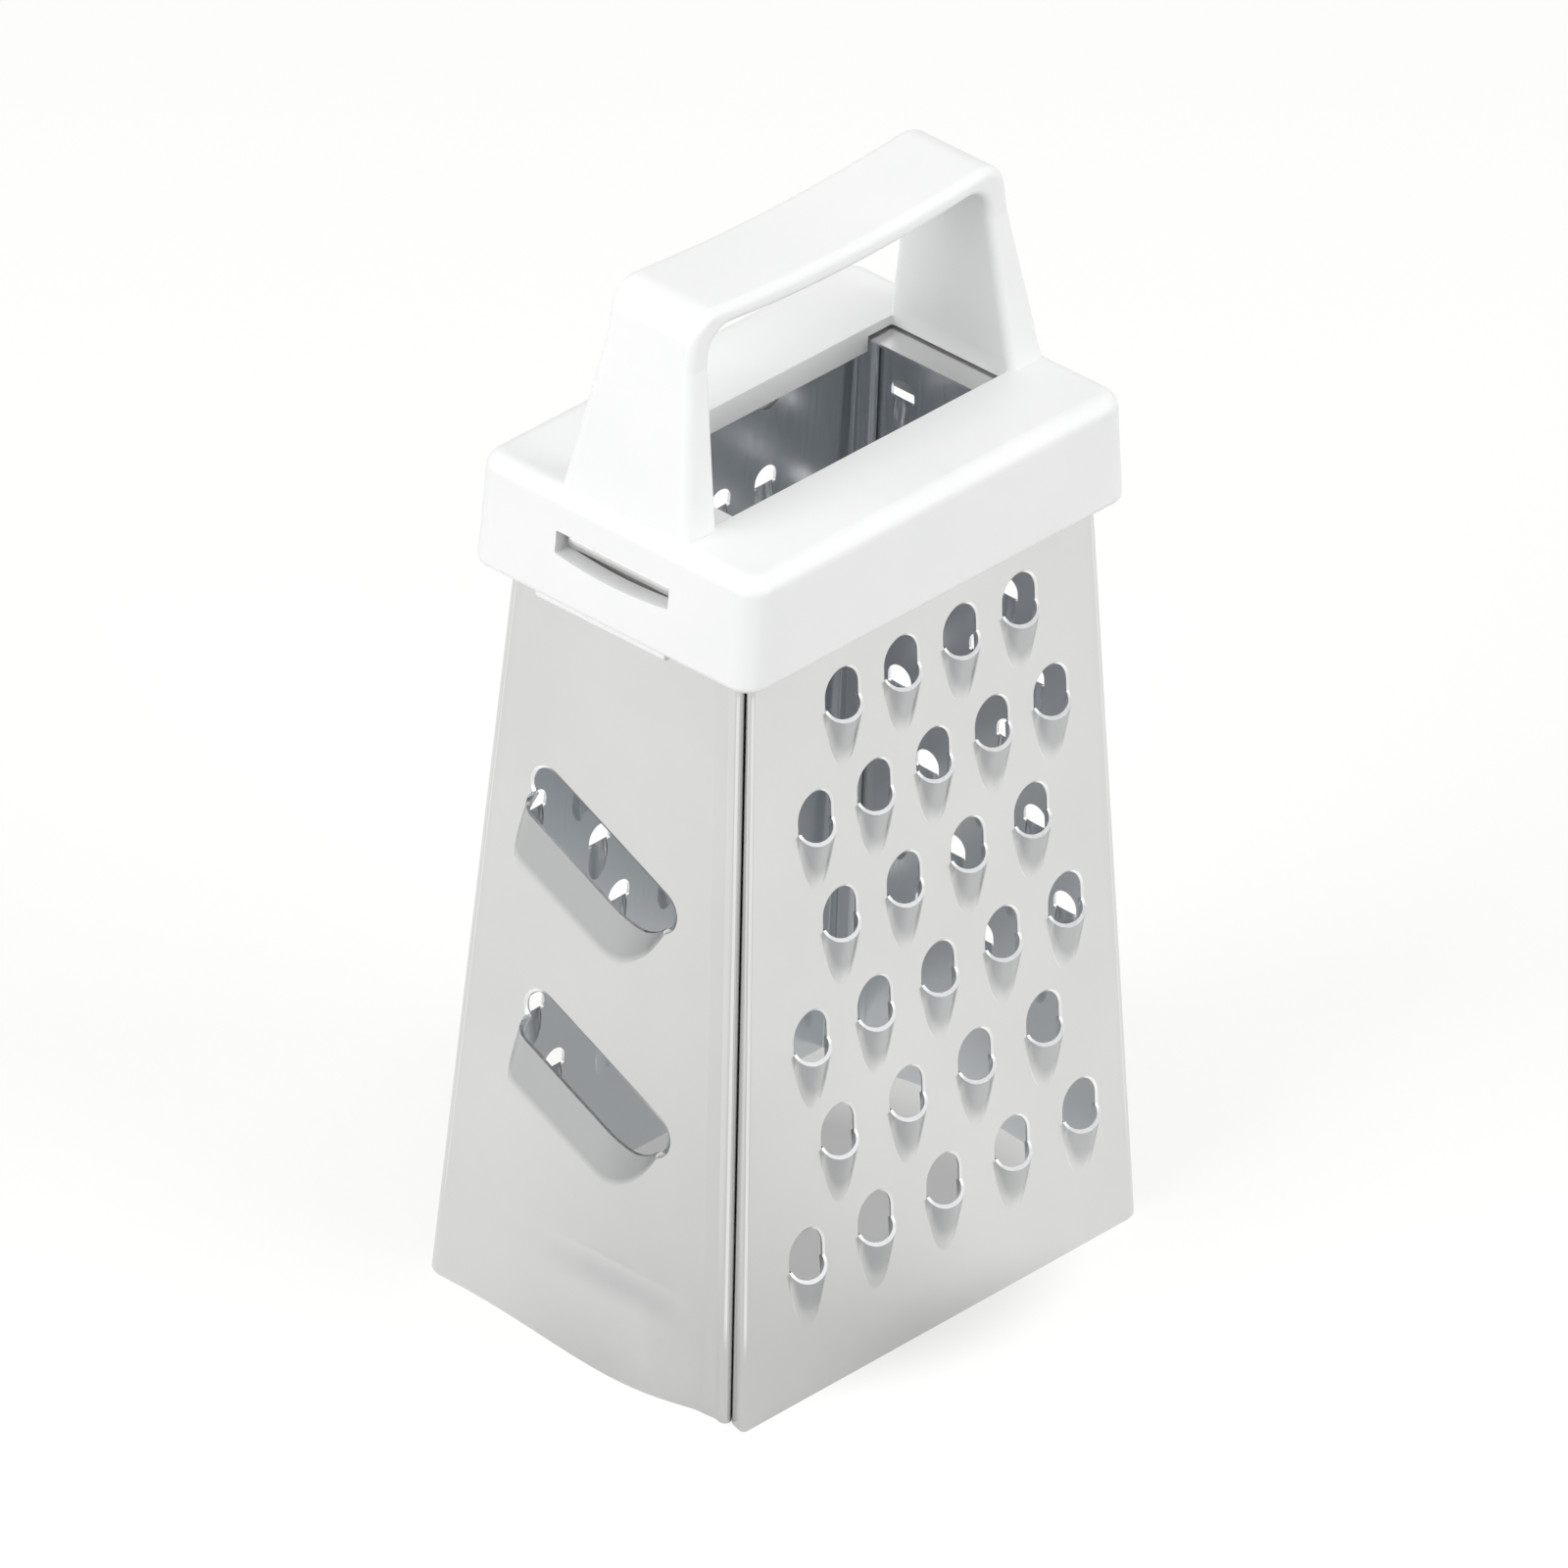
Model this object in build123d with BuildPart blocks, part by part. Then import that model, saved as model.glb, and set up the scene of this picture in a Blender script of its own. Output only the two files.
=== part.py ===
from build123d import *
import os
from math import atan, cos, sin

# A small four-sided box grater: two folded steel sheets locked together at
# opposite corners, under one moulded cap with a carrying handle.
# +X runs along the two wide walls, +Y from the coarse wall to the back wall,
# +Z up. The origin is the middle of the base. Lengths are in millimetres.

# Steel body, measured over the sheet
BASE_WIDTH = 50.0
BASE_DEPTH = 37.2
NECK_WIDTH = 43.44
NECK_DEPTH = 28.0
NECK_HEIGHT = 69.9
BODY_HEIGHT = 78.0
SHEET = 0.3
CORNER_BEND = 2.5
FLARE_BASE = 1.4
FLARE_MIDDLE = 0.15
FLARE_TOP = 0.02
FLARE_HEIGHT = 10.0
BOW_START_SHARE = 0.45
BOW_PEAK_SHARE = 0.75
BOW_END_SHARE = 0.92
BOW_PULL_SHARE = 2.7
OVERRUN = 1.0

# Lock seam, measured from the sharp corner of the body
SEAM_GAP = 0.02
SEAM_FOLD_BASE = 2.5
SEAM_FOLD_NECK = 1.55
SEAM_HEM = 0.8
SEAM_BEND = 0.24
FLANGE_INSET_BASE = 0.1
FLANGE_INSET_NECK = 0.35
FLANGE_KNEE_IN_SHARE = 0.5
FLANGE_KNEE_BACK = 0.92
FLANGE_RUN_BACK = 0.27
DISH_DEPTH_BASE = 0.14
DISH_DEPTH_NECK = 0.06
DISH_START = 2.4
DISH_LOW = 0.7
DISH_END = 0.15
DISH_START_BEND = 1.0
DISH_LOW_BEND = 0.6
DISH_END_BEND = 0.3

# Coarse teeth on the front wall, with rolled rims
COARSE_HOLE = 2.0
COARSE_SCOOP = 2.15
COARSE_LIFT = 1.4
COARSE_REACH = 6.9
COARSE_MOUTH = 1.2
COARSE_SLANT_SHARE = 1.2
COARSE_RIM = 0.2
RIM_DEPTH = 0.14
COARSE_ROW_LOW = 13.9
COARSE_ROW_STEP = 10.17
COARSE_ROWS = 6
COARSE_PITCH_LOW = 8.43
COARSE_PITCH_HIGH = 7.2
COARSE_MARGIN = 5.2
COARSE_SHIFT = 0.25

# Fine teeth on the back wall, and in wider rows on the right wall
FINE_HOLE = 1.3
FINE_SCOOP = 1.45
FINE_LIFT = 0.75
FINE_REACH = 4.3
FINE_MOUTH = 0.7
FINE_SLANT_SHARE = 1.1
FINE_ROW_LOW = 14.3
FINE_ROW_STEP = 7.13
FINE_ROWS = 8
FINE_PITCH_LOW = 6.4
FINE_PITCH_HIGH = 5.6
FINE_MARGIN = 5.9
FINE_SHIFT = 0.66
LOCK_HOLE = 1.3
LOCK_HEIGHT = 72.7
LOCK_SHIFT = 10.2
SIDE_ROW_LOW = 19.8
SIDE_ROW_STEP = 7.2
SIDE_ROWS = 8
SIDE_PITCH_LOW = 6.4
SIDE_PITCH_HIGH = 5.8
SIDE_MARGIN = 4.8

# Slicing slots on the left wall
SLOT_LENGTH = 17.9
SLOT_WIDTH = 3.4
SLOT_TILT = 24.8
SLOT_MOUTH = 0.3
SLOT_RIM = 0.27
SLOT_LOW_HEIGHT = 26.8
SLOT_LOW_SHIFT = 0.05
SLOT_HIGH_HEIGHT = 47.9
SLOT_HIGH_SHIFT = 0.84
HOOD_START = 8.2
HOOD_END = 8.75
HOOD_RISE = 2.0
HOOD_FALL = 4.4
HOOD_LIFT = 2.0
HOOD_REACH = 8.8

# Tongue and locking bead on the short walls
TONGUE_HEIGHT = 79.3
TONGUE_END = 14.6
TONGUE_WIDTH = 15.6
TONGUE_BEND = 0.7
TONGUE_DROP = 0.15
BEAD_LENGTH = 11.8
BEAD_HEIGHT = 75.5
BEAD_RADIUS = 0.95
BEAD_LIFT = 1.1

# Cap collar
COLLAR_TOP = 80.35
COLLAR_LOW_WIDTH = 46.9
COLLAR_LOW_DEPTH = 32.0
COLLAR_HIGH_WIDTH = 45.4
COLLAR_HIGH_DEPTH = 31.5
COLLAR_CORNER = 2.1
COLLAR_TOP_ROUND = 1.5
COLLAR_FOOT_ROUND = 0.6
CAP_SHIFT = 0.5
CAVITY_SIDE_ROOM = 0.35
CAVITY_FACE_ROOM = 0.85
CAVITY_CORNER = 0.4
OPENING_WIDTH = 35.75
OPENING_DEPTH = 13.05
OPENING_ROUND = 0.3
TONGUE_FIT = 0.15
WINDOW_LENGTH = 12.8
WINDOW_LOW = 74.0
WINDOW_HIGH = 76.6
WINDOW_SAG = 0.5
SKIRT_DROP = 0.5
SKIRT_INSET = 0.3
SKIRT_LENGTH = 14.6
SKIRT_SHIFT = 1.1
SKIRT_ROUND = 0.3

# Handle
HANDLE_TOP = 99.85
HANDLE_SAG = 1.0
HANDLE_BAR = 2.05
LEG_OUT_LOW = 21.9
LEG_OUT_HIGH = 19.55
LEG_IN_HIGH = 16.87
LEG_HALF_LOW = 7.15
LEG_HALF_HIGH = 4.85
LEG_BEND_HEIGHT = 94.6
HANDLE_OUT_ROUND = 2.8
HANDLE_IN_ROUND = 2.2
HANDLE_EDGE_ROUND = 0.85


def between(base, neck, height):
    """A size that changes steadily from the base to the neck."""
    return base + (neck - base) * height / NECK_HEIGHT


def half_width(height):
    return between(BASE_WIDTH, NECK_WIDTH, height) / 2


def half_depth(height):
    return between(BASE_DEPTH, NECK_DEPTH, height) / 2


WIDTH_LEAN = atan((BASE_WIDTH - NECK_WIDTH) / 2 / NECK_HEIGHT)
DEPTH_LEAN = atan((BASE_DEPTH - NECK_DEPTH) / 2 / NECK_HEIGHT)
MID_SHEET = SHEET / 2
SEAM_STEP = SHEET + SEAM_GAP

# One plane on the outside of each wall: local X across, local Y up the wall
FRONT = Plane((0, -half_depth(0), 0), (1, 0, 0), (0, -cos(DEPTH_LEAN), sin(DEPTH_LEAN)))
BACK = Plane((0, half_depth(0), 0), (-1, 0, 0), (0, cos(DEPTH_LEAN), sin(DEPTH_LEAN)))
RIGHT = Plane((half_width(0), 0, 0), (0, 1, 0), (cos(WIDTH_LEAN), 0, sin(WIDTH_LEAN)))
LEFT = Plane((-half_width(0), 0, 0), (0, -1, 0), (-cos(WIDTH_LEAN), 0, sin(WIDTH_LEAN)))


def sheet_section(height, flare):
    """Plan section of a folded sheet: seam flange, wide wall, bend, short wall, seam hem."""
    side = half_width(height) - MID_SHEET
    front = -half_depth(height) + MID_SHEET
    fold = between(SEAM_FOLD_BASE, SEAM_FOLD_NECK, height) - MID_SHEET
    inset = between(FLANGE_INSET_BASE, FLANGE_INSET_NECK, height)
    dish = between(DISH_DEPTH_BASE, DISH_DEPTH_NECK, height)
    hook_in = dish + SEAM_STEP
    hem_in = hook_in + SEAM_STEP
    flange_in = hem_in + SEAM_STEP
    hook_end = front + fold + SEAM_GAP
    hook_turn = front + fold + SEAM_HEM + SEAM_GAP
    knee_in = FLANGE_KNEE_IN_SHARE * flange_in
    knee_back = fold - FLANGE_KNEE_BACK
    run_start = fold - FLANGE_RUN_BACK
    wall_start = front + CORNER_BEND + OVERRUN
    hem_fold = -front - fold
    dish_start = hem_fold - DISH_START
    with BuildSketch(Plane.XY.offset(height)) as section:
        with BuildLine():
            Line((-side + hook_in, hook_end), (-side + hook_in, hook_turn))
            ThreePointArc(
                (-side + hook_in, hook_turn),
                (-side + hem_in, hook_turn + SEAM_STEP),
                (-side + flange_in, hook_turn),
            )
            FilletPolyline(
                (-side + flange_in, hook_turn),
                (-side + flange_in, front + run_start),
                (-side + knee_in, front + knee_back),
                (-side + inset, front),
                (side, front),
                (side, wall_start),
                radius=[SEAM_BEND, SEAM_BEND, SEAM_BEND, CORNER_BEND - MID_SHEET],
            )
            wall = dish_start - wall_start
            Bezier(
                (side, wall_start),
                (side, wall_start + BOW_START_SHARE * wall),
                (side + BOW_PULL_SHARE * flare, wall_start + BOW_PEAK_SHARE * wall),
                (side, wall_start + BOW_END_SHARE * wall),
                (side, dish_start),
            )
            FilletPolyline(
                (side, dish_start),
                (side, dish_start + DISH_START_BEND / 5),
                (side - dish, hem_fold - DISH_LOW),
                (side, hem_fold - DISH_END),
                (side, hem_fold),
                radius=[DISH_START_BEND, DISH_LOW_BEND, DISH_END_BEND],
            )
            ThreePointArc(
                (side, hem_fold),
                (side - hem_in / 2, hem_fold + hem_in / 2),
                (side - hem_in, hem_fold),
            )
            Line((side - hem_in, hem_fold), (side - hem_in, hem_fold - SEAM_HEM))
        trace(line_width=SHEET)
    return section.sketch.face()


# Plain folded sheet, the same blank for both halves of the body
with BuildPart() as blank:
    loft(
        [
            sheet_section(0, FLARE_BASE),
            sheet_section(FLARE_HEIGHT, FLARE_MIDDLE),
            sheet_section(BODY_HEIGHT, FLARE_TOP),
        ],
        ruled=True,
    )


def scoop_section(half, rise, inward):
    """Cross-section of the bar that presses a scoop."""
    with BuildSketch() as section:
        Ellipse(half - inward, rise - inward)
    return section.sketch


def hood_section(inward):
    """Cross-section of the bar that presses the hood: steep at one end, drawn out at the other."""
    start, end, top = inward - HOOD_START, HOOD_END - inward, HOOD_LIFT - inward
    rise, fall = HOOD_RISE - inward, HOOD_FALL - inward
    with BuildSketch() as section:
        with Locations((start + rise, 0)):
            Ellipse(rise, top)
            Rectangle(end - fall - start - rise, 2 * top, align=(Align.MIN, Align.CENTER))
        with Locations((end - fall, 0)):
            Ellipse(fall, top)
    return section.sketch


def ramp(section, lift, start, reach, mouth, slant, floor):
    """A tilted bar below a hole at the local origin.

    Its axis leaves the wall at the start and its top meets the wall at the
    reach. It is cut off at the mouth, along a slant that recedes as it rises,
    and at the floor inside the wall.
    """
    tilt = atan(lift / (reach - start))
    with BuildPart() as bar:
        with BuildSketch(Plane((0, -start, 0), (1, 0, 0), (0, -cos(tilt), -sin(tilt)))):
            add(section)
        extrude(amount=2 * reach, both=True)
        with BuildSketch(Plane.YZ):
            with BuildLine():
                Polyline(
                    (-mouth, -floor),
                    (-mouth, 0),
                    (-mouth - 2 * slant * lift, 2 * lift),
                    (-2 * reach, 2 * lift),
                    (-2 * reach, -floor),
                    close=True,
                )
            make_face()
        extrude(amount=2 * reach, both=True, mode=Mode.INTERSECT)
    return bar.part


def staggered(rows, low, step, pitch_low, pitch_high, room, shifted, aside=0):
    """Places of rows of teeth, every second row shifted by half a pitch."""
    places = []
    for row in range(rows):
        height = low + row * step
        share = (row // 2) / ((rows - 1) // 2)
        pitch = pitch_low + (pitch_high - pitch_low) * share
        across = pitch / 2 if (row + shifted) % 2 else 0
        while across < room(height):
            sides = (across, -across) if across else (0,)
            places += [(aside + side, height) for side in sides]
            across += pitch
    return places


FRONT_PLACES = staggered(
    COARSE_ROWS,
    COARSE_ROW_LOW,
    COARSE_ROW_STEP,
    COARSE_PITCH_LOW,
    COARSE_PITCH_HIGH,
    lambda height: half_width(height) - COARSE_MARGIN,
    0,
    COARSE_SHIFT,
)
BACK_PLACES = staggered(
    FINE_ROWS,
    FINE_ROW_LOW,
    FINE_ROW_STEP,
    FINE_PITCH_LOW,
    FINE_PITCH_HIGH,
    lambda height: half_width(height) - FINE_MARGIN,
    1,
    FINE_SHIFT,
)
RIGHT_PLACES = staggered(
    SIDE_ROWS,
    SIDE_ROW_LOW,
    SIDE_ROW_STEP,
    SIDE_PITCH_LOW,
    SIDE_PITCH_HIGH,
    lambda height: half_depth(height) - SIDE_MARGIN,
    0,
)
SLOT_PLACES = [
    Location((-SLOT_LOW_SHIFT, SLOT_LOW_HEIGHT, 0), (0, 0, -SLOT_TILT)),
    Location((-SLOT_HIGH_SHIFT, SLOT_HIGH_HEIGHT, 0), (0, 0, -SLOT_TILT)),
]
LOCK_PLACES = [(-LOCK_SHIFT, LOCK_HEIGHT), (LOCK_SHIFT, LOCK_HEIGHT)]


def arch(height, hole, mouth):
    """A round hole with straight sides down to its mouth."""
    with BuildSketch(Plane.XY.offset(height)) as outline:
        Circle(hole)
        Rectangle(2 * hole, mouth, align=(Align.CENTER, Align.MAX))
        with Locations((0, -mouth)):
            Rectangle(2 * hole, hole, align=(Align.CENTER, Align.MAX), mode=Mode.SUBTRACT)
    return outline.sketch


def slit(height, grow):
    """The outline of a slicing slot, grown all round."""
    with BuildSketch(Plane.XY.offset(height)) as outline:
        SlotOverall(SLOT_LENGTH + 2 * grow, SLOT_WIDTH + 2 * grow)
    return outline.sketch


def tooth_tools(half, lift, reach, hole, mouth, slant, rim=0):
    """What forms one tooth: the rolled rim, the scoop, its hollow and the hole."""
    tools = []
    if rim:
        with BuildPart() as edge:
            loft([arch(-RIM_DEPTH, hole, mouth).face(), arch(RIM_DEPTH, hole + 2 * rim, mouth).face()], ruled=True)
        tools += [(edge.part, Mode.SUBTRACT)]
    with BuildPart() as punch:
        add(arch(-SHEET - OVERRUN, hole, mouth))
        extrude(amount=SHEET + 2 * OVERRUN)
    bump = ramp(scoop_section(half, lift, 0), lift, mouth, reach, mouth, slant, MID_SHEET)
    hollow = ramp(scoop_section(half, lift, SHEET), lift, mouth, reach, 0, slant / 2, SHEET + OVERRUN)
    return tools + [(bump, Mode.ADD), (hollow, Mode.SUBTRACT), (punch.part, Mode.SUBTRACT)]


def slot_tools():
    """What forms one slicing slot: the rolled rim, the hood, its hollow and the hole."""
    edge = SLOT_WIDTH / 2
    with BuildPart() as rim:
        loft([slit(-RIM_DEPTH, 0).face(), slit(RIM_DEPTH, 2 * SLOT_RIM).face()], ruled=True)
    with BuildPart() as punch:
        add(slit(-SHEET - OVERRUN, 0))
        extrude(amount=SHEET + OVERRUN + 2 * HOOD_LIFT)
    bump = ramp(hood_section(0), HOOD_LIFT, edge, HOOD_REACH, SLOT_MOUTH, 0, MID_SHEET)
    hollow = ramp(hood_section(SHEET), HOOD_LIFT, edge, HOOD_REACH, 0, 0, SHEET + OVERRUN)
    return [(rim.part, Mode.SUBTRACT), (bump, Mode.ADD), (hollow, Mode.SUBTRACT), (punch.part, Mode.SUBTRACT)]


def lock_punch():
    """The punch for a plain hole near the top of the back wall."""
    with BuildPart() as punch:
        with BuildSketch(Plane.XY.offset(-SHEET - OVERRUN)):
            Circle(LOCK_HOLE)
        extrude(amount=SHEET + 2 * OVERRUN)
    return punch.part


def press(wall, places, tools):
    """Add or take away each tool at each place of a wall."""
    for piece, mode in tools:
        with Locations(wall):
            with Locations(*places):
                add(piece, mode=mode)


def top_tongue():
    """The strip at the top of a short wall, bent inwards under the cap's plate."""
    side = half_width(BODY_HEIGHT) - MID_SHEET
    level = TONGUE_HEIGHT - MID_SHEET
    with BuildPart() as strip:
        with BuildSketch(Plane.XZ):
            with BuildLine():
                FilletPolyline(
                    (side, BODY_HEIGHT),
                    (side, level),
                    (TONGUE_END, level - TONGUE_DROP),
                    radius=TONGUE_BEND,
                )
            trace(line_width=SHEET)
        extrude(amount=TONGUE_WIDTH / 2, both=True)
    return strip.part


def bead(hollow=False):
    """The bar pressed outwards at the top of a short wall, in its local frame."""
    inward = SHEET if hollow else 0
    with BuildPart() as bar:
        with BuildSketch(Plane.YZ):
            with Locations((BEAD_HEIGHT, BEAD_LIFT - BEAD_RADIUS)):
                Circle(BEAD_RADIUS - inward)
        extrude(amount=BEAD_LENGTH / 2 - inward, both=True)
        if not hollow:
            with BuildSketch(Plane.XY.offset(-MID_SHEET)):
                with Locations((0, BEAD_HEIGHT)):
                    Rectangle(2 * BEAD_LENGTH, 4 * BEAD_RADIUS)
            extrude(amount=2 * BEAD_RADIUS, mode=Mode.INTERSECT)
    return bar.part


coarse_tools = tooth_tools(
    COARSE_SCOOP, COARSE_LIFT, COARSE_REACH, COARSE_HOLE, COARSE_MOUTH, COARSE_SLANT_SHARE, COARSE_RIM
)
fine_tools = tooth_tools(FINE_SCOOP, FINE_LIFT, FINE_REACH, FINE_HOLE, FINE_MOUTH, FINE_SLANT_SHARE)

# Blank with its tongue and bead, before the teeth or the slots are pressed
with BuildPart() as bent_blank:
    add(blank.part)
    add(top_tongue())
    with Locations(RIGHT):
        add(bead())
        add(bead(hollow=True), mode=Mode.SUBTRACT)

# Sheet with the coarse wall and the right wall
with BuildPart() as front_right_sheet:
    add(bent_blank.part)
    press(FRONT, FRONT_PLACES, coarse_tools)
    press(RIGHT, RIGHT_PLACES, fine_tools)

# Sheet with the fine wall and the slicing wall, the same blank turned half round
with BuildPart() as rear_left_sheet:
    add(bent_blank.part.rotate(Axis.Z, 180))
    press(BACK, BACK_PLACES, fine_tools)
    press(BACK, LOCK_PLACES, [(lock_punch(), Mode.SUBTRACT)])
    press(LEFT, SLOT_PLACES, slot_tools())


def rounded_outline(height, middle, width, depth, corner):
    """A rounded rectangle across the body, with its middle at an X position."""
    with BuildSketch(Plane.XY.offset(height)) as outline:
        with Locations((middle, 0)):
            RectangleRounded(width, depth, corner)
    return outline.sketch.face()


def cavity_outline(height):
    """The inside of the collar, which follows the steel."""
    return rounded_outline(
        height,
        0,
        2 * (half_width(height) + CAVITY_SIDE_ROOM),
        2 * (half_depth(height) + CAVITY_FACE_ROOM),
        CAVITY_CORNER,
    )


def skirt():
    """The short tab below the collar on the left wall."""
    with BuildPart() as tab:
        with BuildSketch(Plane.XY.offset(NECK_HEIGHT - SKIRT_DROP)):
            with Locations((SKIRT_INSET - CAP_SHIFT - COLLAR_LOW_WIDTH / 2, SKIRT_SHIFT)):
                Rectangle(2 * COLLAR_CORNER, SKIRT_LENGTH, align=(Align.MIN, Align.CENTER))
        extrude(amount=SKIRT_DROP + 2 * COLLAR_FOOT_ROUND)
        fillet(tab.edges().group_by(Axis.Z)[0].sort_by(Axis.X)[0], SKIRT_ROUND)
    return tab.part


def handle_block():
    """The strap handle: its front outline, tapered as seen from the side."""
    top_low = HANDLE_TOP - HANDLE_SAG
    opening = OPENING_WIDTH / 2
    lean = (LEG_OUT_LOW - LEG_OUT_HIGH) / (LEG_BEND_HEIGHT - COLLAR_TOP)
    foot = COLLAR_TOP - COLLAR_TOP_ROUND
    foot_out = LEG_OUT_LOW + lean * COLLAR_TOP_ROUND
    head_out = LEG_OUT_LOW - lean * (HANDLE_TOP - COLLAR_TOP)
    lean_in = (opening - LEG_IN_HIGH) / (LEG_BEND_HEIGHT - COLLAR_TOP)
    foot_in = opening + lean_in * (COLLAR_TOP_ROUND + OVERRUN)
    head_in = opening - lean_in * (HANDLE_TOP - HANDLE_BAR - COLLAR_TOP)
    taper = (LEG_HALF_LOW - LEG_HALF_HIGH) / (LEG_BEND_HEIGHT - COLLAR_TOP)
    foot_half = LEG_HALF_LOW + taper * COLLAR_TOP_ROUND
    with BuildPart() as block:
        with BuildSketch(Plane.XZ):
            with BuildLine():
                Polyline((-head_out, HANDLE_TOP), (-foot_out, foot), (foot_out, foot), (head_out, HANDLE_TOP))
                ThreePointArc((head_out, HANDLE_TOP), (0, top_low), (-head_out, HANDLE_TOP))
            make_face()
            with BuildLine():
                Polyline(
                    (-head_in, HANDLE_TOP - HANDLE_BAR),
                    (-foot_in, foot - OVERRUN),
                    (foot_in, foot - OVERRUN),
                    (head_in, HANDLE_TOP - HANDLE_BAR),
                )
                ThreePointArc(
                    (head_in, HANDLE_TOP - HANDLE_BAR),
                    (0, top_low - HANDLE_BAR),
                    (-head_in, HANDLE_TOP - HANDLE_BAR),
                )
            make_face(mode=Mode.SUBTRACT)
        extrude(amount=foot_half + OVERRUN, both=True)
        upright = block.edges().filter_by(Axis.Y)
        fillet(upright.group_by(Axis.Z)[-1], HANDLE_OUT_ROUND)
        inner = block.edges().filter_by(Axis.Y).filter_by_position(
            Axis.Z, HANDLE_TOP - 2 * HANDLE_BAR, HANDLE_TOP - HANDLE_BAR / 2
        )
        fillet(inner.filter_by_position(Axis.X, -head_in - SHEET, head_in + SHEET), HANDLE_IN_ROUND)
        with BuildSketch(Plane.YZ):
            with BuildLine():
                Polyline(
                    (-foot_half, foot),
                    (foot_half, foot),
                    (LEG_HALF_HIGH, LEG_BEND_HEIGHT),
                    (LEG_HALF_HIGH, HANDLE_TOP + OVERRUN),
                    (-LEG_HALF_HIGH, HANDLE_TOP + OVERRUN),
                    (-LEG_HALF_HIGH, LEG_BEND_HEIGHT),
                    close=True,
                )
            make_face()
        extrude(amount=foot_out + OVERRUN, both=True, mode=Mode.INTERSECT)
        above = block.edges().filter_by_position(Axis.Z, COLLAR_TOP - COLLAR_TOP_ROUND / 2, HANDLE_TOP)
        fillet(above, HANDLE_EDGE_ROUND)
    return block.part


# Moulded cap with the collar and the handle
with BuildPart() as handle_cap:
    loft(
        [
            rounded_outline(NECK_HEIGHT, -CAP_SHIFT, COLLAR_LOW_WIDTH, COLLAR_LOW_DEPTH, COLLAR_CORNER),
            rounded_outline(COLLAR_TOP, -CAP_SHIFT, COLLAR_HIGH_WIDTH, COLLAR_HIGH_DEPTH, COLLAR_CORNER),
        ],
        ruled=True,
    )
    fillet(handle_cap.faces().sort_by(Axis.Z)[-1].edges(), COLLAR_TOP_ROUND)
    fillet(handle_cap.faces().sort_by(Axis.Z)[0].edges(), COLLAR_FOOT_ROUND)
    add(skirt())
    with Locations((-CAP_SHIFT, 0, 0)):
        add(handle_block())
    loft([cavity_outline(NECK_HEIGHT - OVERRUN), cavity_outline(BODY_HEIGHT)], ruled=True, mode=Mode.SUBTRACT)
    with BuildSketch(Plane.XY.offset(BODY_HEIGHT - OVERRUN)):
        with Locations((-CAP_SHIFT, 0)):
            RectangleRounded(OPENING_WIDTH, OPENING_DEPTH, OPENING_ROUND)
    extrude(amount=COLLAR_TOP - BODY_HEIGHT + 2 * OVERRUN, mode=Mode.SUBTRACT)
    # Pocket above both tongues
    with BuildSketch(Plane.XY.offset(BODY_HEIGHT - OVERRUN)):
        Rectangle(2 * (half_width(BODY_HEIGHT) + TONGUE_FIT), TONGUE_WIDTH + 2 * TONGUE_FIT)
        Rectangle(2 * (TONGUE_END - TONGUE_FIT), TONGUE_WIDTH + 2 * TONGUE_FIT, mode=Mode.SUBTRACT)
    extrude(amount=TONGUE_HEIGHT + TONGUE_FIT - BODY_HEIGHT + OVERRUN, mode=Mode.SUBTRACT)
    # Window over the bead in both short sides
    with BuildSketch(Plane.YZ):
        with BuildLine():
            Polyline(
                (-WINDOW_LENGTH / 2, WINDOW_LOW + WINDOW_SAG),
                (-WINDOW_LENGTH / 2, WINDOW_HIGH),
                (WINDOW_LENGTH / 2, WINDOW_HIGH),
                (WINDOW_LENGTH / 2, WINDOW_LOW + WINDOW_SAG),
            )
            ThreePointArc(
                (WINDOW_LENGTH / 2, WINDOW_LOW + WINDOW_SAG),
                (0, WINDOW_LOW),
                (-WINDOW_LENGTH / 2, WINDOW_LOW + WINDOW_SAG),
            )
        make_face()
    extrude(amount=COLLAR_LOW_WIDTH, both=True, mode=Mode.SUBTRACT)

handle_cap.part.label = "handle_cap"
front_right_sheet.part.label = "front_right_sheet"
rear_left_sheet.part.label = "rear_left_sheet"
os.makedirs("parts", exist_ok=True)
export_step(front_right_sheet.part, "parts/front_right_sheet.step")
export_step(rear_left_sheet.part, "parts/rear_left_sheet.step")
export_step(handle_cap.part, "parts/handle_cap.step")
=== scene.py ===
import logging
import math
from dataclasses import dataclass
from enum import Enum

import bpy
from mathutils import Matrix, Vector

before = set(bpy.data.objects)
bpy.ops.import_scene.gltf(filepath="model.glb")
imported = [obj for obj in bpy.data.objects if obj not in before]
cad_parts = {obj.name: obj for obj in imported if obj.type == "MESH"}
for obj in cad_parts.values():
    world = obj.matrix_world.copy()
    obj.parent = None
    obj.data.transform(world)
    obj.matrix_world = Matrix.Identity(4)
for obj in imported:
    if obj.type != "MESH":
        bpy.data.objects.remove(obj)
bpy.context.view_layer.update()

log = logging.getLogger("box_grater")

MM = 0.001
PHOTO_PIXELS = 1600
SENSOR_MM = 36.0
AIM_HEIGHT = 50.0 * MM

# Most of a noise pattern's values lie between these two
PATTERN_LOW = 0.3
PATTERN_HIGH = 0.7


class Node(Enum):
    """The CAD nodes of the grater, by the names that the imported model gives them."""

    FRONT_RIGHT_SHEET = "front_right_sheet"
    REAR_LEFT_SHEET = "rear_left_sheet"
    HANDLE_CAP = "handle_cap"


class Grain(Enum):
    """Directions that the fine lines of a finish can run in, as scales of the pattern."""

    UPRIGHT = (1.0, 1.0, 0.03)
    EVEN = (1.0, 1.0, 1.0)


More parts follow.
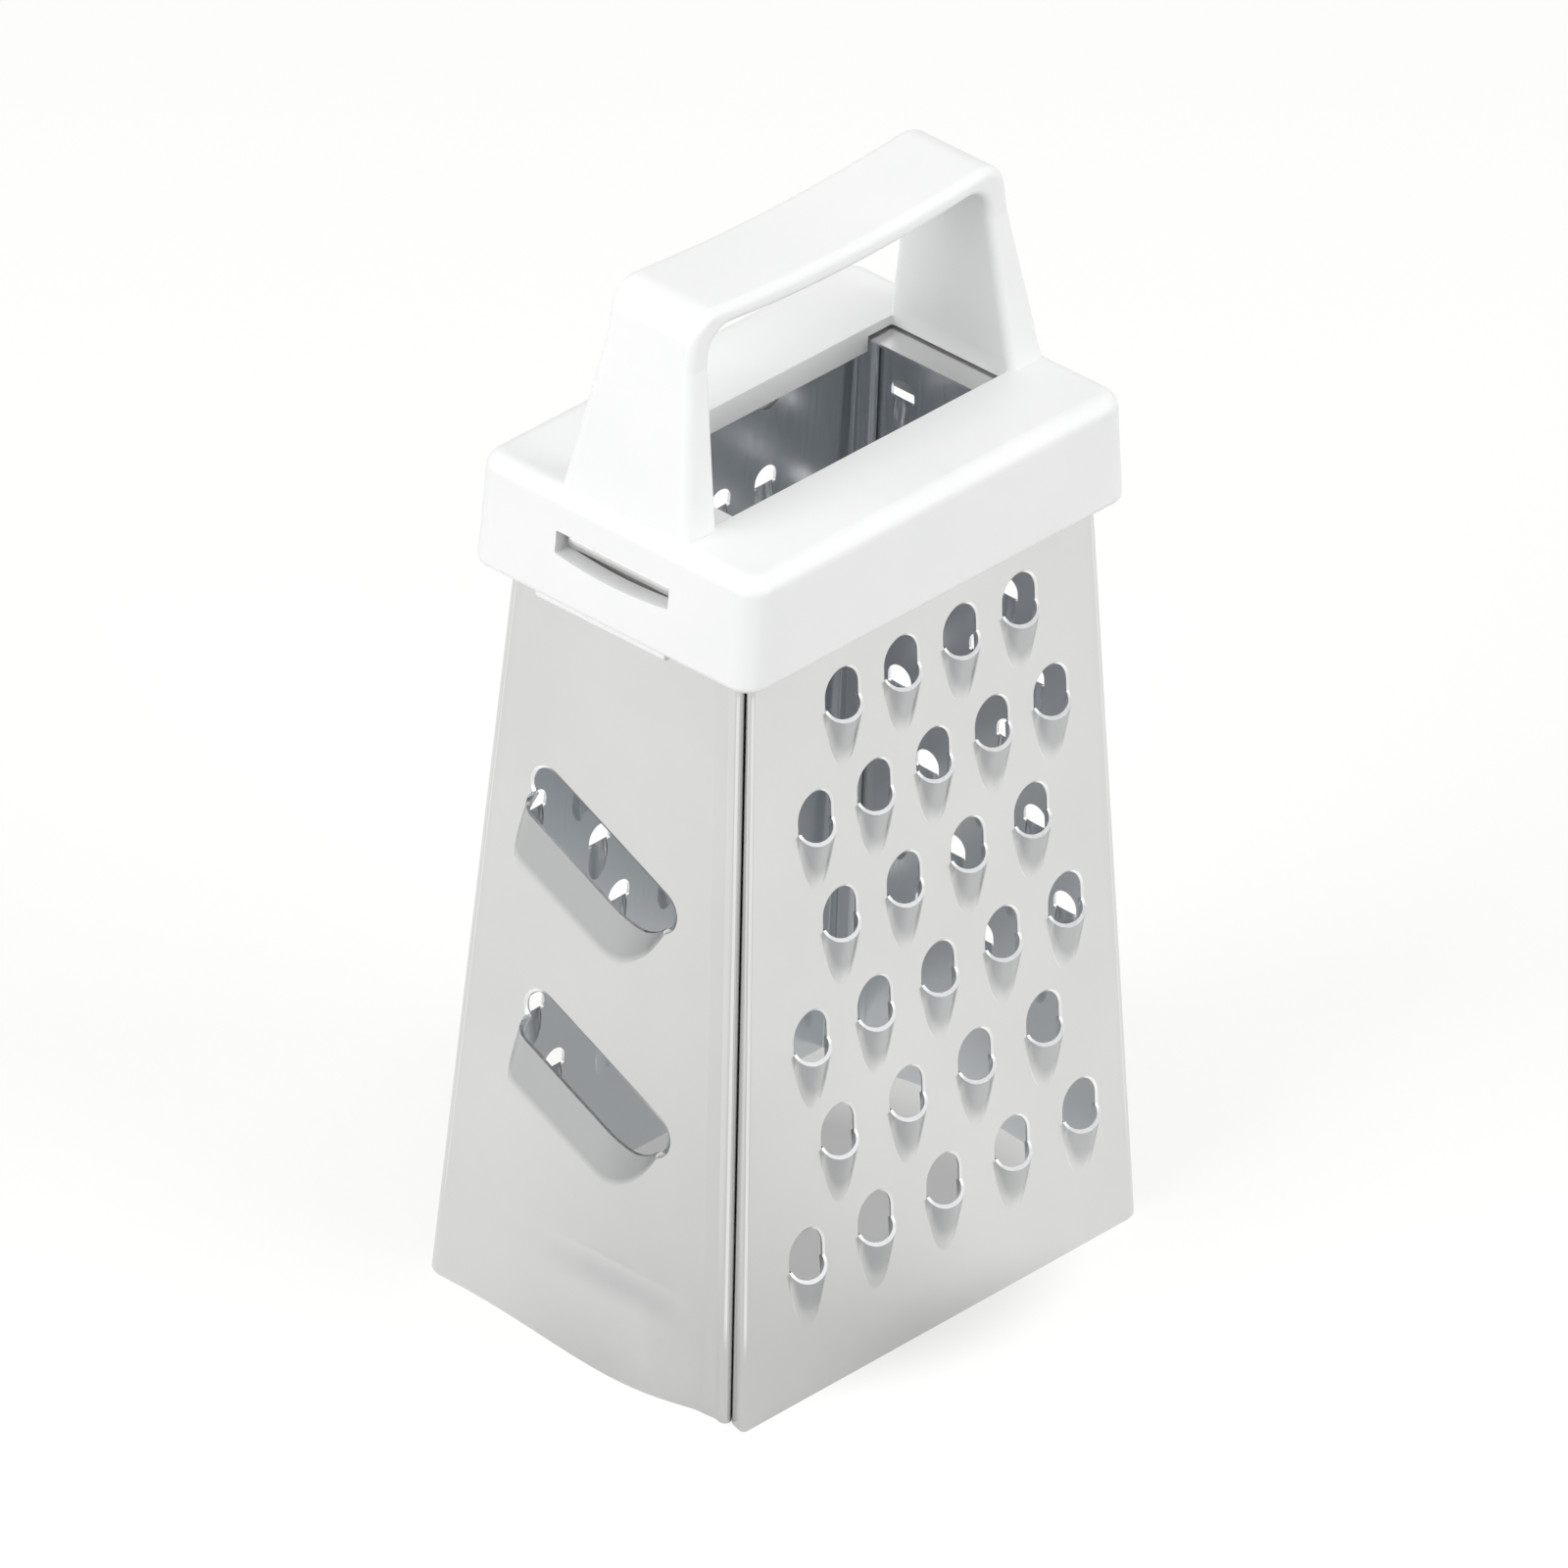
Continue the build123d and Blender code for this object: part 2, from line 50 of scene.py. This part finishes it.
class Surface:
    """A new material with a Principled shader, and short calls for the nodes that shape it."""

    # Places of a colour mix's sockets, whose names the mix also gives to other sockets
    MIX_SHARE = 0
    MIX_FIRST = 6
    MIX_SECOND = 7
    MIX_RESULT = 2

    def __init__(self, name: str) -> None:
        """Make the material and its empty pattern.

        Args:
            name: The material's name.
        """
        self.material = bpy.data.materials.new(name)
        self.material.use_nodes = True
        self.tree = self.material.node_tree
        self.shader = self.tree.nodes["Principled BSDF"]
        coordinates = self.tree.nodes.new("ShaderNodeTexCoord")
        self.place = coordinates.outputs["Object"]
        self.normal = coordinates.outputs["Normal"]

    def link(self, out: bpy.types.NodeSocket, into: bpy.types.NodeSocket) -> None:
        """Join an output to an input."""
        self.tree.links.new(out, into)

    def stretched(self, grain: Grain) -> bpy.types.NodeSocket:
        """Stretch the object's own coordinates along a grain.

        Args:
            grain: The direction that the pattern is drawn out in.

        Returns:
            The stretched coordinates.
        """
        mapping = self.tree.nodes.new("ShaderNodeMapping")
        mapping.inputs["Scale"].default_value = grain.value
        self.link(self.place, mapping.inputs["Vector"])
        return mapping.outputs["Vector"]

    def noise(self, grain: Grain, per_metre: float, detail: float = 2.0) -> bpy.types.NodeSocket:
        """Add a noise pattern.

        Args:
            grain: The direction that the pattern is drawn out in.
            per_metre: How many times the pattern repeats in a metre.
            detail: How many finer layers it has.

        Returns:
            The pattern's value, from 0 to 1.
        """
        noise = self.tree.nodes.new("ShaderNodeTexNoise")
        noise.inputs["Scale"].default_value = per_metre
        noise.inputs["Detail"].default_value = detail
        self.link(self.stretched(grain), noise.inputs["Vector"])
        return noise.outputs["Fac"]

    def spread(self, value: bpy.types.NodeSocket, low: float, high: float) -> bpy.types.NodeSocket:
        """Spread the middle of a 0 to 1 pattern over a range.

        Args:
            value: The pattern.
            low: What its dark parts become.
            high: What its light parts become.

        Returns:
            The spread value.
        """
        spread = self.tree.nodes.new("ShaderNodeMapRange")
        spread.inputs["From Min"].default_value = PATTERN_LOW
        spread.inputs["From Max"].default_value = PATTERN_HIGH
        spread.inputs["To Min"].default_value = low
        spread.inputs["To Max"].default_value = high
        self.link(value, spread.inputs["Value"])
        return spread.outputs["Result"]

    def tint(
        self, value: bpy.types.NodeSocket, low: tuple[float, float, float], high: tuple[float, float, float]
    ) -> bpy.types.NodeSocket:
        """Mix two colours by a pattern.

        Args:
            value: The pattern, from 0 to 1.
            low: The colour of its dark parts.
            high: The colour of its light parts.

        Returns:
            The mixed colour.
        """
        ramp = self.tree.nodes.new("ShaderNodeValToRGB")
        ramp.color_ramp.elements[0].position = PATTERN_LOW
        ramp.color_ramp.elements[0].color = (*low, 1.0)
        ramp.color_ramp.elements[1].position = PATTERN_HIGH
        ramp.color_ramp.elements[1].color = (*high, 1.0)
        self.link(value, ramp.inputs["Fac"])
        return ramp.outputs["Color"]

    def maths(
        self, operation: str, first: bpy.types.NodeSocket, second: bpy.types.NodeSocket | float = 0.0
    ) -> bpy.types.NodeSocket:
        """Work out one value from two.

        Args:
            operation: The name of the sum.
            first: The first value.
            second: The second value, or a plain number. Some sums don't use it.

        Returns:
            The result.
        """
        node = self.tree.nodes.new("ShaderNodeMath")
        node.operation = operation
        self.link(first, node.inputs[0])
        if isinstance(second, bpy.types.NodeSocket):
            self.link(second, node.inputs[1])
        else:
            node.inputs[1].default_value = second
        return node.outputs["Value"]

    def eased(
        self, value: bpy.types.NodeSocket, near: tuple[float, float], far: tuple[float, float]
    ) -> bpy.types.NodeSocket:
        """Turn a value into another one that changes smoothly between two places.

        Args:
            value: The value.
            near: Where the change starts, and the result there.
            far: Where it ends, and the result there.

        Returns:
            The result.
        """
        node = self.tree.nodes.new("ShaderNodeMapRange")
        node.interpolation_type = "SMOOTHSTEP"
        node.inputs["From Min"].default_value = near[0]
        node.inputs["To Min"].default_value = near[1]
        node.inputs["From Max"].default_value = far[0]
        node.inputs["To Max"].default_value = far[1]
        self.link(value, node.inputs["Value"])
        return node.outputs["Result"]

    def parts(self, vector: bpy.types.NodeSocket) -> list[bpy.types.NodeSocket]:
        """Split a vector.

        Args:
            vector: The vector.

        Returns:
            Its X, Y and Z.
        """
        node = self.tree.nodes.new("ShaderNodeSeparateXYZ")
        self.link(vector, node.inputs["Vector"])
        return list(node.outputs)

    def mixed(
        self, share: bpy.types.NodeSocket, first: bpy.types.NodeSocket, second: tuple[float, float, float]
    ) -> bpy.types.NodeSocket:
        """Lay a plain colour over another colour.

        Args:
            share: How much of the plain colour shows, from 0 to 1.
            first: The colour below.
            second: The plain colour.

        Returns:
            The mixed colour.
        """
        node = self.tree.nodes.new("ShaderNodeMix")
        node.data_type = "RGBA"
        self.link(share, node.inputs[self.MIX_SHARE])
        self.link(first, node.inputs[self.MIX_FIRST])
        node.inputs[self.MIX_SECOND].default_value = (*second, 1.0)
        return node.outputs[self.MIX_RESULT]

    def bump(self, layers: list[tuple[bpy.types.NodeSocket, float]]) -> None:
        """Raise the surface by patterns, one above the other.

        Args:
            layers: Each pattern with its height in metres.
        """
        normal = None
        for value, height in layers:
            bump = self.tree.nodes.new("ShaderNodeBump")
            bump.inputs["Distance"].default_value = height
            self.link(value, bump.inputs["Height"])
            if normal is not None:
                self.link(normal, bump.inputs["Normal"])
            normal = bump.outputs["Normal"]
        self.link(normal, self.shader.inputs["Normal"])


@dataclass(frozen=True)
class SatinSteel:
    """Thin rolled stainless sheet: satin, faintly clouded, with fine upright rolling lines.

    Faces that look into the body get a lighter, bluer colour: painted light. What stands out
    from the flat walls is coloured darker: painted shade for its darker reflections. The
    rolled rims of the holes are coloured near white: a painted highlight.
    """

    dark: tuple[float, float, float] = (0.665, 0.668, 0.662)
    light: tuple[float, float, float] = (0.69, 0.693, 0.687)
    # painted light: a lighter, bluer colour for the faces that look into the body, though the steel is the
    # same
    painted_inner_light: tuple[float, float, float] = (0.72, 0.745, 0.775)
    # painted shade: the teeth that stand out from the walls are coloured darker, standing in for their
    # darker reflections
    teeth_shade: tuple[float, float, float] = (0.47, 0.475, 0.485)
    # painted highlight: the rolled edges of the holes are coloured near white, standing in for the light
    # that they catch
    painted_rim_highlight: tuple[float, float, float] = (0.95, 0.95, 0.94)
    smooth: float = 0.2
    dull: float = 0.26
    wave: float = 0.06 * MM
    line: float = 0.0003 * MM
    clouds_per_metre: float = 70.0
    lines_per_metre: float = 2500.0
    waves_per_metre: float = 38.0
    fine_detail: float = 3.0
    wave_detail: float = 1.0
    half_width: float = 25.0 * MM
    half_depth: float = 18.6 * MM
    neck_height: float = 69.9 * MM
    width_taper: float = 3.28 * MM
    depth_taper: float = 4.6 * MM
    turned_in: tuple[float, float] = (-6.0 * MM, -1.0 * MM)
    raised: tuple[float, float] = (0.06 * MM, 0.5 * MM)
    teeth_from: tuple[float, float] = (6.0 * MM, 10.0 * MM)
    teeth_to: tuple[float, float] = (67.5 * MM, 69.0 * MM)
    rim_depth: float = 0.17 * MM
    rim_fade: float = 0.02 * MM
    rim_top: tuple[float, float] = (0.005 * MM, 0.03 * MM)
    rim_turn: tuple[float, float] = (0.03, 0.1)

    def material(self) -> bpy.types.Material:
        """Make the finish.

        Returns:
            The material.
        """
        surface = Surface("satin_steel")
        surface.shader.inputs["Metallic"].default_value = 1.0
        cloud = surface.noise(Grain.EVEN, self.clouds_per_metre, self.fine_detail)
        lines = surface.noise(Grain.UPRIGHT, self.lines_per_metre, self.fine_detail)
        wave = surface.noise(Grain.EVEN, self.waves_per_metre, self.wave_detail)
        # masks for the painted shade of the teeth and the painted highlight of the hole edges
        teeth_shade, rim_highlight = self.shade_and_highlight_masks(surface)
        sheet = surface.tint(cloud, self.dark, self.light)
        # painted shade: the teeth are coloured darker for their darker reflections
        painted_sheet = surface.mixed(teeth_shade, sheet, self.teeth_shade)
        # painted light: faces that look into the body get a lighter, bluer colour
        painted_sheet = surface.mixed(self.inner_light_share(surface), painted_sheet, self.painted_inner_light)
        # painted highlight: the rolled hole edges are coloured near white
        surface.link(surface.mixed(rim_highlight, painted_sheet, self.painted_rim_highlight), surface.shader.inputs["Base Color"])
        surface.link(surface.spread(lines, self.smooth, self.dull), surface.shader.inputs["Roughness"])
        surface.bump([(wave, self.wave), (lines, self.line)])
        return surface.material

    def inner_light_share(self, surface: Surface) -> bpy.types.NodeSocket:
        """Find the side of the sheets that faces into the body, which gets the painted light.

        Args:
            surface: The material.

        Returns:
            1 where the surface faces the middle of the body, and 0 elsewhere.
        """
        place = surface.parts(surface.place)
        normal = surface.parts(surface.normal)
        across = surface.maths("MULTIPLY", place[0], normal[0])
        along = surface.maths("MULTIPLY", place[1], normal[1])
        outward = surface.maths("ADD", across, along)
        return surface.eased(outward, (self.turned_in[0], 1.0), (self.turned_in[1], 0.0))

    def shade_and_highlight_masks(self, surface: Surface) -> tuple[bpy.types.NodeSocket, bpy.types.NodeSocket]:
        """Find where the painted shade of the teeth and the painted highlight of the hole edges go, from
        the distance to the flat walls.

        Args:
            surface: The material.

        Returns:
            How far a place gets the painted shade of the teeth, and how far the painted highlight of the
            hole edges, both from 0 to 1.
        """
        place = surface.parts(surface.place)
        normal = surface.parts(surface.normal)
        walls = ((self.half_width, self.width_taper), (self.half_depth, self.depth_taper))
        out, turn = [], []
        for axis, (half, taper) in enumerate(walls):
            lean = math.atan(taper / self.neck_height)
            across = surface.maths("MULTIPLY", surface.maths("ABSOLUTE", place[axis]), math.cos(lean))
            upward = surface.maths("MULTIPLY", place[2], math.sin(lean))
            outward = surface.maths("ADD", across, upward)
            out.append(surface.maths("SUBTRACT", outward, half * math.cos(lean)))
            facing = surface.maths("MULTIPLY", surface.maths("ABSOLUTE", normal[axis]), math.cos(lean))
            rising = surface.maths("MULTIPLY", normal[2], math.sin(lean))
            turn.append(surface.maths("ADD", facing, rising))
        height = surface.maths("MAXIMUM", *out)
        low = surface.eased(place[2], (self.teeth_from[0], 0.0), (self.teeth_from[1], 1.0))
        high = surface.eased(place[2], (self.teeth_to[0], 1.0), (self.teeth_to[1], 0.0))
        among = surface.maths("MULTIPLY", low, high)
        raised = surface.eased(height, (self.raised[0], 0.0), (self.raised[1], 1.0))
        # painted shade: how far a place stands out from the walls, among the rows of teeth
        teeth_shade = surface.maths("MULTIPLY", raised, among)
        flush = surface.eased(height, (-self.rim_depth - self.rim_fade, 0.0), (-self.rim_depth, 1.0))
        level = surface.eased(height, (self.rim_top[0], 1.0), (self.rim_top[1], 0.0))
        facing = surface.maths("MAXIMUM", *turn)
        turned = surface.eased(facing, (1.0 - self.rim_turn[1], 1.0), (1.0 - self.rim_turn[0], 0.0))
        # painted highlight: where the hole edges roll over, which get the near-white colour
        rim_highlight = surface.maths("MULTIPLY", surface.maths("MULTIPLY", flush, level), turned)
        return teeth_shade, surface.maths("MULTIPLY", rim_highlight, among)


@dataclass(frozen=True)
class MilkyPlastic:
    """Injection-moulded milky white plastic with a soft, slightly uneven sheen."""

    dark: tuple[float, float, float] = (0.845, 0.855, 0.85)
    light: tuple[float, float, float] = (0.87, 0.878, 0.872)
    smooth: float = 0.36
    dull: float = 0.46
    depth: float = 0.7 * MM
    milk: float = 0.25
    flow: float = 0.02 * MM
    skin: float = 0.003 * MM
    clouds_per_metre: float = 90.0
    skin_per_metre: float = 1800.0

    def material(self) -> bpy.types.Material:
        """Make the finish.

        Returns:
            The material.
        """
        surface = Surface("milky_plastic")
        inputs = surface.shader.inputs
        inputs["Subsurface Weight"].default_value = self.milk
        inputs["Subsurface Radius"].default_value = (1.0, 1.0, 1.0)
        inputs["Subsurface Scale"].default_value = self.depth
        cloud = surface.noise(Grain.EVEN, self.clouds_per_metre)
        skin = surface.noise(Grain.EVEN, self.skin_per_metre)
        surface.link(surface.tint(cloud, self.dark, self.light), inputs["Base Color"])
        surface.link(surface.spread(cloud, self.smooth, self.dull), inputs["Roughness"])
        surface.bump([(cloud, self.flow), (skin, self.skin)])
        return surface.material


@dataclass
class SteelBody:
    """The two folded sheets that lock into the four-sided body."""

    sheets: tuple[Node, ...] = (Node.FRONT_RIGHT_SHEET, Node.REAR_LEFT_SHEET)
    finish: SatinSteel = SatinSteel()

    def dress(self) -> None:
        """Give both sheets the steel finish."""
        material = self.finish.material()
        for sheet in self.sheets:
            dress_node(sheet, material)


@dataclass
class MouldedCap:
    """The white cap: collar, top plate and strap handle in one moulding."""

    node: Node = Node.HANDLE_CAP
    finish: MilkyPlastic = MilkyPlastic()

    def dress(self) -> None:
        """Give the cap the plastic finish."""
        dress_node(self.node, self.finish.material())


@dataclass(frozen=True)
class SoftLamp:
    """One square soft lamp that faces the grater, placed by two angles in degrees."""

    name: str
    azimuth: float
    height: float
    size: float
    watts: float

    def hang(self, distance: float) -> None:
        """Hang the lamp.

        Args:
            distance: How far from the grater it hangs, in metres.
        """
        data = bpy.data.lights.new(self.name, "AREA")
        data.size = self.size
        data.energy = self.watts
        lamp = bpy.data.objects.new(self.name, data)
        bpy.context.scene.collection.objects.link(lamp)
        away = bearing(math.radians(self.azimuth), math.radians(self.height))
        lamp.location = Vector((0.0, 0.0, AIM_HEIGHT)) + away * distance
        lamp.rotation_euler = away.to_track_quat("Z", "Y").to_euler()
        log.info("hung %s", self.name)


@dataclass
class SoftStudio:
    """A pale floor that runs out of sight, two wide soft lamps, one overhead, and a white surround.

    The floor glows for the rays that show it, so that it reads as white paper. The glow is
    weaker beneath the body, a painted shadow, and in reflections of the floor before the front
    and left walls, a painted shade.
    """

    floor_size: float = 8.0
    floor_albedo: float = 0.5
    floor_roughness: float = 0.9
    floor_glow: float = 0.51
    glow_colour: tuple[float, float, float] = (1.0, 1.0, 0.97)
    # painted shadow: how strongly the floor still glows beneath the body
    painted_shadow_under_body: float = 0.6
    body_edge: tuple[float, float] = (17.0 * MM, 27.0 * MM)
    near_side: tuple[float, float] = (-0.742, -0.671)
    near_turn: tuple[float, float] = (0.15, 0.9)
    # painted shade: how far the floor's glow drops in reflections before the front and left walls
    near_side_painted_shade: float = 0.5
    surround: float = 0.44
    lamp_distance: float = 0.9
    lamps: tuple[SoftLamp, ...] = (
        SoftLamp("left_lamp", azimuth=-100.0, height=18.0, size=0.7, watts=5.4),
        SoftLamp("right_lamp", azimuth=20.0, height=20.0, size=0.7, watts=4.0),
        SoftLamp("top_lamp", azimuth=0.0, height=89.0, size=0.6, watts=2.7),
    )

    def build(self) -> None:
        """Make the floor, the surround and the lamps."""
        self.floor()
        self.world()
        for lamp in self.lamps:
            lamp.hang(self.lamp_distance)

    def floor(self) -> None:
        """Lay the floor, whose own glow makes it white where the object's shadow doesn't reach."""
        bpy.ops.object.select_all(action="DESELECT")
        bpy.ops.mesh.primitive_plane_add(size=self.floor_size, location=(0.0, 0.0, 0.0))
        floor = bpy.context.object
        floor.name = "studio_floor"
        surface = Surface("studio_paper")
        inputs = surface.shader.inputs
        inputs["Roughness"].default_value = self.floor_roughness
        inputs["Specular IOR Level"].default_value = 0.0
        inputs["Base Color"].default_value = (self.floor_albedo,) * 3 + (1.0,)
        inputs["Emission Color"].default_value = (*self.glow_colour, 1.0)
        surface.link(self.glow(surface), inputs["Emission Strength"])
        floor.data.materials.append(surface.material)
        log.info("floor laid")

    def glow(self, surface: Surface) -> bpy.types.NodeSocket:
        """Work out how strongly each place of the floor glows, with a painted shadow beneath the body and
        painted shade in reflections before the front and left walls.

        Args:
            surface: The floor's material.

        Returns:
            The strength of the glow.
        """
        nodes = surface.tree.nodes
        place = surface.parts(surface.place)
        length = nodes.new("ShaderNodeVectorMath")
        length.operation = "LENGTH"
        surface.link(surface.place, length.inputs[0])
        away = length.outputs["Value"]
        across = surface.maths("MULTIPLY", place[0], self.near_side[0])
        along = surface.maths("MULTIPLY", place[1], self.near_side[1])
        towards = surface.maths("DIVIDE", surface.maths("ADD", across, along), away)
        # painted shade: the glow seen in reflections is dimmer on the floor before the front and left walls
        near = surface.eased(towards, (self.near_turn[0], 1.0), (self.near_turn[1], self.near_side_painted_shade))
        # painted shadow: the floor's glow drops beneath the body
        body_shadow = surface.eased(away, (self.body_edge[0], self.painted_shadow_under_body), (self.body_edge[1], 1.0))
        path = nodes.new("ShaderNodeLightPath")
        glossy, clear = path.outputs["Is Glossy Ray"], path.outputs["Is Transmission Ray"]
        reflected = surface.maths("MULTIPLY", surface.maths("MAXIMUM", glossy, clear), near)
        shown = surface.maths("MAXIMUM", reflected, path.outputs["Is Camera Ray"])
        return surface.maths("MULTIPLY", surface.maths("MULTIPLY", shown, body_shadow), self.floor_glow)

    @staticmethod
    def seen(tree: bpy.types.NodeTree) -> bpy.types.NodeSocket:
        """Tell the rays that show the background from the rays that only light the object.

        Args:
            tree: The node tree that needs to know.

        Returns:
            1 for camera, glossy and transmission rays, and 0 for the others.
        """
        path = tree.nodes.new("ShaderNodeLightPath")
        seen = path.outputs["Is Camera Ray"]
        for kind in ("Is Glossy Ray", "Is Transmission Ray"):
            either = tree.nodes.new("ShaderNodeMath")
            either.operation = "MAXIMUM"
            tree.links.new(seen, either.inputs[0])
            tree.links.new(path.outputs[kind], either.inputs[1])
            seen = either.outputs["Value"]
        return seen

    def world(self) -> None:
        """Surround the set with white, dimmer for the rays that only light the object."""
        world = bpy.data.worlds.new("white_surround")
        bpy.context.scene.world = world
        world.use_nodes = True
        tree = world.node_tree
        background = tree.nodes["Background"]
        background.inputs["Color"].default_value = (1.0, 1.0, 1.0, 1.0)
        level = tree.nodes.new("ShaderNodeMapRange")
        level.inputs["To Min"].default_value = self.surround
        level.inputs["To Max"].default_value = 1.0
        tree.links.new(self.seen(tree), level.inputs["Value"])
        tree.links.new(level.outputs["Result"], background.inputs["Strength"])
        log.info("surround set")


@dataclass
class PhotoCamera:
    """The camera at the photograph's own angle, fitted to the grater's corners."""

    azimuth: float = -47.859
    height: float = 31.372
    roll: float = 1.6695
    distance: float = 2500.0 * MM
    focal_pixels: float = 30562.69
    middle_right: float = -1.2056 * MM
    middle_up: float = -4.4802 * MM
    clip: tuple[float, float] = (0.1, 50.0)

    def build(self) -> None:
        """Make the camera and look through it."""
        turn, rise, roll = (math.radians(angle) for angle in (self.azimuth, self.height, self.roll))
        away = bearing(turn, rise)
        level = Vector((math.cos(turn), math.sin(turn), 0.0))
        upright = away.cross(level)
        right = level * math.cos(roll) + upright * math.sin(roll)
        up = upright * math.cos(roll) - level * math.sin(roll)
        aim = Vector((0.0, 0.0, AIM_HEIGHT)) + right * self.middle_right + up * self.middle_up
        data = bpy.data.cameras.new("photo_camera")
        data.sensor_width = SENSOR_MM
        data.lens = self.focal_pixels * SENSOR_MM / PHOTO_PIXELS
        data.clip_start, data.clip_end = self.clip
        camera = bpy.data.objects.new("photo_camera", data)
        bpy.context.scene.collection.objects.link(camera)
        axes = Matrix((right, up, away)).transposed().to_4x4()
        camera.matrix_world = Matrix.Translation(aim + away * self.distance) @ axes
        bpy.context.scene.camera = camera
        log.info("camera set")


def bearing(turn: float, rise: float) -> Vector:
    """Point from the grater to a place around it.

    Args:
        turn: The angle from the front, right-handed about +Z, in radians.
        rise: The angle above the floor, in radians.

    Returns:
        A direction of length 1.
    """
    return Vector((math.sin(turn) * math.cos(rise), -math.cos(turn) * math.cos(rise), math.sin(rise)))


def dress_node(node: Node, material: bpy.types.Material) -> None:
    """Put one finish on a CAD node, whose mesh stays as it is.

    Args:
        node: The CAD node.
        material: Its finish.
    """
    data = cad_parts[node.value].data
    data.materials.clear()
    data.materials.append(material)
    log.info("dressed %s", node.value)


def main() -> None:
    """Build the studio, set the camera and dress the grater."""
    logging.basicConfig(level=logging.INFO)
    bpy.context.scene.view_settings.view_transform = "Standard"
    SoftStudio().build()
    PhotoCamera().build()
    SteelBody().dress()
    MouldedCap().dress()


if __name__ == "__main__":
    main()
